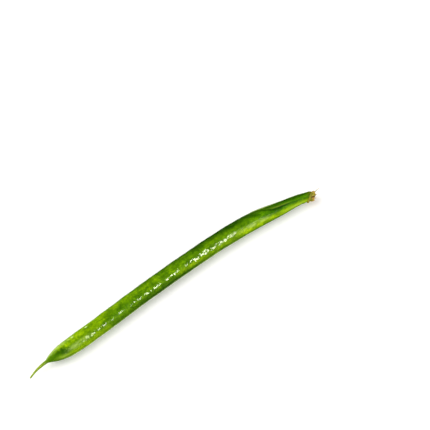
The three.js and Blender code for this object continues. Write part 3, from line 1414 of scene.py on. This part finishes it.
@dataclass
class Pod(Tube):
    """The pod: tail, shoulder, body with two seams and eight seed swellings, and neck.

    Lengths, heights and depths are in mm, and every width is half the whole one. Starts and names that
    end in along are places along the bean.

    Attributes:
        shoulder_length: How quickly the body swells behind the tail, and shoulder_softness how softly.
        neck_fullness: How late the body narrows.
        height_ratio: The section's height over its width.
        seed_wander: How far seeds stray from an even spacing, and seed_rhythm how quickly that
            changes from seed to seed.
        ridge_share: The height of the ridge beside a crease over the crease's depth, and ridge_angle
            how far from the crease it is.
        relief: The skin's swells and lengthwise ribs, and neck_ribs the stronger ribs of the neck.
        lip: The raised lip of the outer seam at the neck, and flat the flat place on the crown.
        slant_start: Where the skin starts to run out to the slanted mouth.
    """

    start: float = 0.0
    length: float = 136.7
    rings: int = 600
    end_rings: int = 2
    sides: int = 120
    crowding_at_seams: float = 0.2

    tail_length: float = 10.0
    tail_tip_width: float = 0.3
    tail_base_width: float = 0.72
    body_width: float = 3.56
    neck_width: float = 1.75
    shoulder_length: float = 6.2
    shoulder_softness: float = 1.08
    neck_start: float = 98.0
    neck_fullness: float = 1.9
    tail_end: End = End(0.35, 0.0)
    mouth_end: End = End(0.3, 0.85)

    height_ratio: float = 0.93
    seam_height: float = 0.22
    seam_half_angle: float = math.radians(10)
    groove_depth: float = 0.16
    groove_half_angle: float = math.radians(3)

    seed_count: int = 8
    first_seed: float = 27.0
    seed_pitch: float = 12.3
    seed_wander: float = 1.0
    seed_rhythm: float = 2.4
    seed_half_length: float = 4.2
    seed_swelling: float = 0.20
    seed_swelling_at_seam: float = 0.06

    crease_half_angle: float = 0.14
    ridge_share: float = 0.6
    ridge_angle: float = -0.26
    ridge_half_angle: float = 0.17
    relief: tuple[Ripple, ...] = (
        Ripple(0.075, 2.1, 1.2), Ripple(0.04125, 0.95, 0.9, 2), Ripple(0.022, 1.3, 14, 3),
    )
    neck_ribs: Ripple = Ripple(0.07, 1.25, 10, 5)
    neck_ribs_start: float = 112.0
    neck_ribs_full: float = 133.0
    lip: Swelling = Swelling(0.30, 117.0, 6.0, 0.25, 0.12)
    flat: Swelling = Swelling(-0.21, 89.0, 14.0, 0.612, 0.46)
    rim_height: float = 0.12
    rim_along: float = 135.6
    rim_half_length: float = 0.7
    slant_start: float = 124.0

    def half_width(self, along: float) -> float:
        """Half the pod's width.

        Args:
            along: Place along the bean.

        Returns:
            Half the width from seam to seam there, in mm, without the seams.
        """
        tail = mix(self.tail_tip_width, self.tail_base_width, min(along / self.tail_length, 1))
        past_tail = max(along - self.tail_length, 0) / self.shoulder_length
        past_start = max(along - self.neck_start, 0) / (self.length - self.neck_start)
        shoulder = (self.body_width - tail) * math.tanh(past_tail) ** self.shoulder_softness
        neck = (self.body_width - self.neck_width) * past_start ** self.neck_fullness
        width = (tail + shoulder - neck) * self.tail_end.fullness(along)
        return width * self.mouth_end.fullness(self.length - along)

    def twist(self, along: float) -> float:
        """How far the section has turned, in radians."""
        turned = smooth_rise(along, NECK_TWIST.start, NECK_TWIST.end)
        return math.radians(NECK_TWIST.degrees) * turned

    def seeds(self, along: float) -> float:
        """How strongly the seeds swell the pod.

        Args:
            along: Place along the bean.

        Returns:
            A share: about 1 over a seed, and less between two.
        """
        places = (self.first_seed + self.seed_pitch * seed
                  + self.seed_wander * math.sin(self.seed_rhythm * seed)
                  for seed in range(self.seed_count))
        return sum(bell(along - place, self.seed_half_length) for place in places)

    def folds(self, along: float, angle: float) -> float:
        """The creases that gather the skin into the neck.

        Args:
            along: Place along the bean.
            angle: Angle round the section.

        Returns:
            How far they raise the surface, in mm.
        """
        folded = 0.0
        for crease in CREASES:
            reach = smooth_rise(along, crease.start - crease.deepening,
                                crease.start + crease.deepening)
            reach *= 1 - smooth_rise(along, crease.end - crease.fading, crease.end + crease.fading)
            if reach:
                path = mix(crease.first_turn, crease.last_turn,
                           smooth_rise(along, crease.start, crease.settled))
                away = math.remainder(angle - angle_of(path), math.tau)
                ridge = self.ridge_share * bell(away - self.ridge_angle, self.ridge_half_angle)
                folded += reach * crease.depth * (ridge - bell(away, self.crease_half_angle))
        return folded

    def unevenness(self, along: float, angle: float) -> float:
        """The skin's small uneven relief over the pod's main form.

        Args:
            along: Place along the bean.
            angle: Angle round the section.

        Returns:
            How far it raises the surface, in mm.
        """
        on_neck = smooth_rise(along, self.neck_ribs_start, self.neck_ribs_full)
        swells = sum(ripple.at(along, angle) for ripple in self.relief)
        return swells + on_neck * self.neck_ribs.at(along, angle) + self.flat.at(along, angle)

    def reach(self, along: float, angle: float) -> float:
        """The distance from the centreline to the surface.

        Args:
            along: Place along the bean.
            angle: Angle round the section.

        Returns:
            The distance, in mm.
        """
        from_seam = math.asin(abs(math.sin(angle)))
        seam = self.seam_height * bell(from_seam, self.seam_half_angle) + self.lip.at(along, angle)
        groove = self.groove_depth * bell(from_seam, self.groove_half_angle)
        swelling = mix(self.seed_swelling_at_seam, self.seed_swelling, math.sin(angle) ** 2)
        half_width = self.half_width(along)
        oval = half_width * math.hypot(math.cos(angle), self.height_ratio * math.sin(angle))
        rim = self.rim_height * bell(along - self.rim_along, self.rim_half_length)
        forms = seam - groove + swelling * self.seeds(along) + self.unevenness(along, angle)
        forms += self.folds(along, angle)
        return oval + half_width / self.body_width * forms + rim

    def shift(self, spot: OnTube) -> float:
        """How far a place is moved along the centreline, in mm, so that the mouth is slanted."""
        slant = MOUTH.shift(spot.angle + self.twist(self.start + spot.along))
        return slant * smooth_rise(spot.along, self.slant_start, self.length)

    def make(self, effects: Effects) -> None:
        """Builds and dresses the pod."""
        settle(self.build(), "pod_skin", Node.POD, WetSkin().dress(effects))


@dataclass(frozen=True)
class Whisker:
    """A loose fibre on the stub's torn end.

    Attributes:
        angle: The angle at which it is rooted.
        ring: How far out it is rooted, as a share of the radius.
        length: Its length, in mm.
        heading: The direction in which it stands.
    """

    angle: float
    ring: float
    length: float
    heading: Triple


@dataclass
class StemStub(Tube):
    """The dry stub of stalk: a lobed knob with a slanted, torn end and a few loose fibres.

    Lengths, heights, depths and radii are in mm, and every width is half the whole one. Names that end
    in along, notch_start, notch_full and tear_start are places along the stub.

    Attributes:
        base_share: The share of the width that the base has.
        lean: How far it leans off the centreline, and lobe how lobed it is, as shares of its width.
        lobe_waves: The share, the number and the phase of each set of lobes.
        ragged: How the edges of the collar and the waist run in and out.
        tear_slant: How much shorter the torn end is on one side, and tear_depth how ragged it is.
        tear_wave: Half the number of its teeth, and their phase.
        tear_start: Where the fibres of its face start to part.
        fibre_spread: How far they are spread out for their noise, and fibre_layer picks that noise.
        fibre_noises: The height and fineness of each part of that noise.
        whisker_radii: A loose fibre's radius at its root and at its tip.
        whisker_sunk: How deep its middle is sunk in.
        whisker_sway: How far it sways, and whisker_curl how far it curls, as shares of its length.
        whisker_swing: How far its sway has come round at the tip, in radians.
    """

    start: float = 136.45
    length: float = 4.1
    rings: int = 60
    end_rings: int = 16
    sides: int = 96
    crowded_share: float = 0.06

    width: float = 1.95
    base_share: float = 0.9
    lean: float = 0.14
    lobe: float = 0.10
    lobe_waves: tuple[Triple, ...] = ((1.0, 2, 0.6), (0.5, 5, 1.1))
    collar: float = 0.22
    collar_along: float = 0.45
    collar_half_length: float = 0.42
    waist: float = 0.30
    waist_along: float = 1.25
    waist_half_length: float = 0.38
    ragged: Ripple = Ripple(0.16, 1.0, 9, 6)
    wrinkles: tuple[Ripple, ...] = (Ripple(0.10, 0.8, 4), Ripple(0.06, 0.5, 1.5, 4))
    notch: float = 0.85
    notch_angle: float = 2.42
    notch_half_angle: float = 0.20
    notch_start: float = 0.9
    notch_full: float = 1.9
    base_end: End = End(0.25, 0.85)
    torn_end: End = End(0.5, 0.6)

    tear_slant: float = 1.7
    tear_depth: float = 0.3
    tear_wave: tuple[float, float] = (2.5, 0.4)
    tear_start: float = 0.8
    fibre_spread: float = 2.4
    fibre_layer: float = 3.1
    fibre_noises: tuple[tuple[float, float], ...] = ((0.35, 2.2), (0.2, 5.1))

    whiskers: tuple[Whisker, ...] = (
        Whisker(0.9, 0.55, 2.6, (1.0, 0.02, 0.34)),
        Whisker(2.2, 0.70, 0.9, (0.8, -0.3, 0.5)),
        Whisker(3.6, 0.60, 0.8, (0.9, -0.5, 0.0)),
        Whisker(5.2, 0.55, 1.0, (1.0, 0.1, -0.3)),
    )
    whisker_radii: tuple[float, float] = (0.17, 0.06)
    whisker_sides: int = 8
    whisker_cuts: int = 7
    whisker_sunk: float = 0.45
    whisker_sway: float = 0.10
    whisker_swing: float = 2.6
    whisker_curl: float = 0.06

    def reach(self, along: float, angle: float) -> float:
        """The distance from the centreline to the surface.

        Args:
            along: Distance from the stub's start, in mm.
            angle: Angle round the section.

        Returns:
            The distance, in mm.
        """
        lobes = self.lobe * sum(share * math.cos(count * angle + phase)
                                for share, count, phase in self.lobe_waves)
        taper = mix(self.base_share, 1.0, clamp(along / self.length))
        reach = self.width * (taper + lobes - self.lean * math.cos(angle))
        ragged = self.ragged.at(self.start + along, angle)
        reach += self.collar * bell(along - self.collar_along, self.collar_half_length + ragged)
        reach -= self.waist * bell(along - self.waist_along - ragged, self.waist_half_length)
        reach += sum(wrinkle.at(self.start + along, angle) for wrinkle in self.wrinkles)
        from_notch = math.remainder(angle - self.notch_angle, math.tau)
        notched = smooth_rise(along, self.notch_start, self.notch_full)
        reach -= self.notch * notched * bell(from_notch, self.notch_half_angle)
        reach *= self.base_end.fullness(along)
        return reach * self.torn_end.fullness(self.length - along)

    def shift(self, spot: OnTube) -> float:
        """How far a place is moved along the centreline.

        Args:
            spot: The place.

        Returns:
            The distance towards the stem, in mm: the base fits the mouth, and the end is torn back.
        """
        share = clamp(spot.along / self.length)
        slant = self.tear_slant * (0.5 - 0.5 * math.cos(spot.angle - MOUTH.angle))
        half_teeth, phase = self.tear_wave
        ragged = self.tear_depth * math.sin(half_teeth * spot.angle + phase) ** 2
        out = spot.ring * self.fibre_spread
        place = Vector((out * math.cos(spot.angle), out * math.sin(spot.angle), self.fibre_layer))
        fibres = sum(height * noise.noise(fineness * place) for height, fineness in self.fibre_noises)
        parted = smooth_rise(spot.along, self.tear_start, self.length)
        torn_back = (slant + ragged - fibres * parted) * share ** 2
        return MOUTH.shift(spot.angle) * (1 - share) - torn_back

    def build(self) -> bmesh.types.BMesh:
        """Makes the stub's mesh.

        Returns:
            The closed knob, with a few loose fibres standing on its torn end.
        """
        mesh = super().build()
        for whisker in self.whiskers:
            self._add_whisker(mesh, whisker)
        return mesh

    def _add_whisker(self, mesh: bmesh.types.BMesh, whisker: Whisker) -> None:
        """Adds one loose fibre to the stub.

        Args:
            mesh: The stub's mesh.
            whisker: The fibre.
        """
        root = self.place(OnTube(self.length - self.whisker_sunk, whisker.angle, whisker.ring))
        turned = Vector(whisker.heading).to_track_quat("Z", "Y").to_matrix()
        thick, thin = self.whisker_radii
        fibre = bmesh.new()
        bmesh.ops.create_cone(fibre, cap_ends=True, segments=self.whisker_sides, radius1=thick,
                              radius2=thin, depth=whisker.length)
        lengthwise = [e for e in fibre.edges
                      if abs(e.verts[0].co.z - e.verts[1].co.z) > whisker.length / 2]
        bmesh.ops.subdivide_edges(fibre, edges=lengthwise, cuts=self.whisker_cuts,
                                  use_grid_fill=True)
        skin = fibre.loops.layers.uv.new("skin")
        for face in fibre.faces:
            for loop in face.loops:
                from_tail = self.start + self.length * (loop.vert.co.z / whisker.length + 0.5)
                loop[skin].uv = (from_tail / self.line.length, root.y)
        for vert in fibre.verts:
            up = vert.co.z / whisker.length + 0.5
            sway = self.whisker_sway * math.sin(self.whisker_swing * up)
            bend = Vector((sway, self.whisker_curl * up * up, 0.5))
            vert.co = (root + turned @ (vert.co + bend * whisker.length)) * MM
        data = bpy.data.meshes.new("fibre")
        fibre.to_mesh(data)
        fibre.free()
        mesh.from_mesh(data)
        bpy.data.meshes.remove(data)

    def make(self, effects: Effects) -> None:
        """Builds and dresses the stub."""
        settle(self.build(), "torn_stem_stub", Node.STUB, DryStem().dress(effects))


# ---- The studio ----


def facing(back: Vector, right: Vector) -> Matrix:
    """The turn of a light or a camera, from the ways that its back and its right point."""
    return Matrix((right, back.cross(right), back)).transposed().to_4x4()


@dataclass(frozen=True)
class Softbox:
    """A rectangular studio light.

    Attributes:
        name: The light's name.
        towards: The direction from the bean to the light.
        distance: How far away it is, in metres.
        size: Its length along the bean and its height, in metres.
        radiance: How bright its face is, as a multiple of white.
        for_diffuse: Whether it lights surfaces evenly and isn't seen in them, or the reverse.
        roll: How far it is turned about its own direction, in degrees.
        tint: The colour of its light.
    """

    name: str
    towards: Triple
    distance: float
    size: tuple[float, float]
    radiance: float
    for_diffuse: bool = False
    roll: float = 0.0
    tint: Triple = (1.0, 1.0, 1.0)

    def place(self) -> None:
        """Makes the light and turns its long side along the bean."""
        light = bpy.data.lights.new(self.name, "AREA")
        light.shape = "RECTANGLE"
        light.size, light.size_y = self.size
        light.energy = self.radiance * math.pi * self.size[0] * self.size[1]
        light.color = self.tint
        back = Vector(self.towards).normalized()
        right = Vector((0, 0, 1)).cross(back).normalized()
        turned = facing(back, right) @ Matrix.Rotation(math.radians(self.roll), 4, "Z")
        lamp = add_object(self.name, light)
        lamp.matrix_world = Matrix.Translation(back * self.distance) @ turned
        lamp.visible_camera = False
        lamp.visible_glossy = not self.for_diffuse
        lamp.visible_diffuse = self.for_diffuse
        lamp.visible_transmission = self.for_diffuse


@dataclass
class Studio:
    """The pale floor, the soft lights and the camera.

    Attributes:
        floor_size: The floor's length and width, in metres.
        floor_drop: How far below the bean it lies, in mm.
        floor_glow: The light that it gives off, which keeps the bean's shadow pale.
        azimuth: The camera's turn about the bean, in degrees; 0 looks along +Y.
        elevation: How far it looks down, in degrees.
        lens: Its focal length, in mm.
        nearest: How near it still sees, in metres.
        distance: How far it is from the point that it aims at, in metres.
        aim: That point, in mm.
    """

    floor_size: float = 6.0
    floor_squares: int = 8
    floor_drop: float = 0.02
    floor_tone: float = 0.86
    floor_glow: Triple = (0.21, 0.20, 0.185)
    floor_roughness: float = 0.8
    floor_specular: float = 0.1
    world_strength: float = 0.52
    azimuth: float = -35.92
    elevation: float = 60.0
    lens: float = 600.0
    nearest: float = 0.01
    distance: float = 2.8505
    aim: Triple = (33.11, 14.23, 0.0)
    lights: tuple[Softbox, ...] = (
        Softbox("front_strip", (0.297, -0.700, 0.650), 0.8, (0.70, 0.27), 22.0, roll=20.0,
                tint=(1.0, 1.0, 0.78)),
        Softbox("back_strip", (-0.33, 0.74, 0.60), 0.8, (0.36, 0.16), 12.0),
        Softbox("overhead", (-0.40, 0.42, 0.80), 1.1, (1.3, 1.1), 2.5, for_diffuse=True),
        Softbox("front_fill", (0.40, -0.75, 0.55), 1.2, (1.2, 0.8), 1.7, for_diffuse=True),
    )

    def make(self) -> None:
        """Builds the floor, the world, the lights and the camera."""
        self._lay_floor()
        self._fill_world()
        for light in self.lights:
            light.place()
        self._set_camera()
        bpy.context.scene.view_settings.view_transform = "Standard"

    def _lay_floor(self) -> None:
        """Lays the plain pale floor just under the bean."""
        mesh = bmesh.new()
        bmesh.ops.create_grid(mesh, x_segments=self.floor_squares, y_segments=self.floor_squares,
                              size=self.floor_size / 2)
        bmesh.ops.translate(mesh, verts=mesh.verts, vec=(0, 0, -self.floor_drop * MM))
        material = bpy.data.materials.new("pale_floor")
        material.use_nodes = True
        Wiring(material.node_tree).feed(material.node_tree.nodes["Principled BSDF"], {
            "Base Color": (*(self.floor_tone,) * 3, 1.0), "Roughness": self.floor_roughness,
            "Specular IOR Level": self.floor_specular, "Emission Color": (*self.floor_glow, 1.0),
            "Emission Strength": 1.0})
        floor = add_mesh("floor", mesh, material)
        floor.visible_glossy = False

    def _fill_world(self) -> None:
        """Surrounds the studio with an even white, which isn't seen in wet surfaces."""
        world = bpy.data.worlds.new("studio")
        world.use_nodes = True
        background = world.node_tree.nodes["Background"]
        background.inputs["Color"].default_value = (1.0, 1.0, 1.0, 1.0)
        background.inputs["Strength"].default_value = self.world_strength
        world.cycles_visibility.glossy = False
        bpy.context.scene.world = world

    def _set_camera(self) -> None:
        """Sets the long lens on the bean."""
        turn, rise = math.radians(self.azimuth), math.radians(self.elevation)
        level = math.cos(rise)
        back = Vector((math.sin(turn) * level, -math.cos(turn) * level, math.sin(rise)))
        right = Vector((math.cos(turn), math.sin(turn), 0))
        lens = bpy.data.cameras.new("camera")
        lens.lens = self.lens
        lens.clip_start = self.nearest
        camera = add_object("camera", lens)
        stand = Vector(self.aim) * MM + back * self.distance
        camera.matrix_world = Matrix.Translation(stand) @ facing(back, right)
        bpy.context.scene.camera = camera


def main() -> None:
    """Builds the bean and its studio in order."""
    logging.basicConfig(level=logging.INFO, format="%(name)s: %(message)s")
    effects = Effects()
    line = Centreline()
    Pod(line).make(effects)
    StemStub(line).make(effects)
    Studio().make()


if __name__ == "__main__":
    main()
